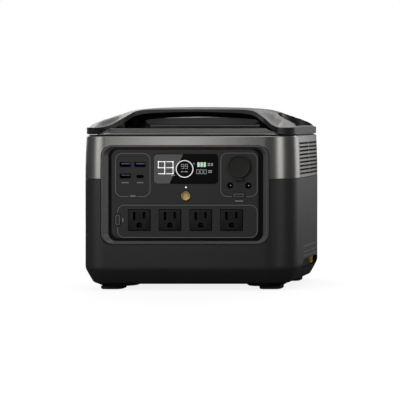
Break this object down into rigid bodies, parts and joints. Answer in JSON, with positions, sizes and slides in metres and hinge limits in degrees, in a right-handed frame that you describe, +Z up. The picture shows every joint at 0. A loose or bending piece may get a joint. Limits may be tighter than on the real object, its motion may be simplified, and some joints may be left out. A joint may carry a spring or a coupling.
{
  "type": "power station",
  "caption": "Portable battery power station with a carry handle, a front panel of outlets and ports, a display, and vented sides",
  "frame": {"origin": "on the ground, midway between the four feet", "axes": "+Z up, +X to the right when facing the front panel, front faces -Y"},
  "size_m": [0.28, 0.18, 0.239],
  "materials": {
    "charcoal_plastic": "fine moulded texture",
    "satin_grey_paint": "satin metallic grey",
    "dark_plastic": "satin",
    "handle_paint": "satin grey",
    "soft_rubber": "matt",
    "panel_plastic": "matt",
    "display_glass": "smoked clear",
    "black_plastic": "satin",
    "gold_button": "satin gold",
    "white_plastic": "clear",
    "port_steel": "plain",
    "blue_plastic": "plain",
    "cover_rubber": "matt",
    "outlet_plastic": "satin",
    "brass_contact": "plain",
    "yellow_plastic": "plain",
    "battery_wrap": "shrink wrap",
    "circuit_board": "solder mask",
    "heatsink_aluminium": "extruded",
    "red_insulation": "plain",
    "black_insulation": "plain"
  },
  "bodies": {
    "housing": {"ac_outlet_1": "outlet_plastic", "ac_outlet_2": "outlet_plastic", "ac_outlet_3": "outlet_plastic", "ac_outlet_4": "outlet_plastic", "base_screw_front_left": "port_steel", "base_screw_front_right": "port_steel", "base_screw_rear_left": "port_steel", "base_screw_rear_right": "port_steel", "battery_cable_negative": "black_insulation", "battery_cable_positive": "red_insulation", "battery_cells": "battery_wrap", "battery_management_board": "circuit_board", "battery_tray": "black_plastic", "capacitor": "black_plastic", "car_socket": "port_steel", "carry_handle": "handle_paint", "control_board": "circuit_board", "cover_hinge_pin": "port_steel", "dc_jack_1": "black_plastic", "dc_jack_2": "black_plastic", "dc_jack_pin_1": "port_steel", "dc_jack_pin_2": "port_steel", "display_lens": "display_glass", "display_module": "black_plastic", "fan_frame": "black_plastic", "foot_front_left": "soft_rubber", "foot_front_right": "soft_rubber", "foot_rear_left": "soft_rubber", "foot_rear_right": "soft_rubber", "front_bezel": "dark_plastic", "front_panel": "panel_plastic", "grip_pad": "soft_rubber", "ground_rail": "brass_contact", "heatsink": "heatsink_aluminium", "inverter_board": "circuit_board", "live_rail": "brass_contact", "lower_shell": "charcoal_plastic", "mains_inlet": "black_plastic", "mains_inlet_pins": "port_steel", "neutral_rail": "brass_contact", "rear_port_plate": "black_plastic", "side_port_plate": "black_plastic", "solar_input": "yellow_plastic", "status_light_pipe": "white_plastic", "top_cover": "dark_plastic", "transformer": "black_plastic", "upper_shell": "satin_grey_paint", "usb_a_port_1": "port_steel", "usb_a_port_2": "port_steel", "usb_a_port_3": "port_steel", "usb_a_tongue_1": "blue_plastic", "usb_a_tongue_2": "blue_plastic", "usb_a_tongue_3": "black_plastic", "usb_c_port": "port_steel"},
    "power_button": {"power_button": "gold_button"},
    "ac_button": {"ac_button": "dark_plastic"},
    "dc_button": {"dc_button": "dark_plastic"},
    "reset_button": {"reset_button": "black_plastic"},
    "socket_cover": {"car_socket_cover": "cover_rubber"},
    "fan_rotor": {"fan_rotor": "dark_plastic"}
  },
  "joints": [
    {"name": "power_button_press", "type": "slide", "parent": "housing", "child": "power_button", "axis": [0, 1, 0], "range_m": [0, 0.001], "stiffness_N_per_m": 800},
    {"name": "ac_button_press", "type": "slide", "parent": "housing", "child": "ac_button", "axis": [0, 1, 0], "range_m": [0, 0.001], "stiffness_N_per_m": 800},
    {"name": "dc_button_press", "type": "slide", "parent": "housing", "child": "dc_button", "axis": [0, 1, 0], "range_m": [0, 0.001], "stiffness_N_per_m": 800},
    {"name": "reset_button_press", "type": "slide", "parent": "housing", "child": "reset_button", "axis": [0, -1, 0], "range_m": [0, 0.001], "stiffness_N_per_m": 800},
    {"name": "socket_cover_hinge", "type": "hinge", "parent": "housing", "child": "socket_cover", "pos_m": [0.0696, -0.0874, 0.144], "axis": [1, 0, 0], "range_deg": [0, 115]},
    {"name": "fan_spin", "type": "hinge", "parent": "housing", "child": "fan_rotor", "pos_m": [0.1255, 0.006, 0.157], "axis": [1, 0, 0], "continuous": true}
  ]
}
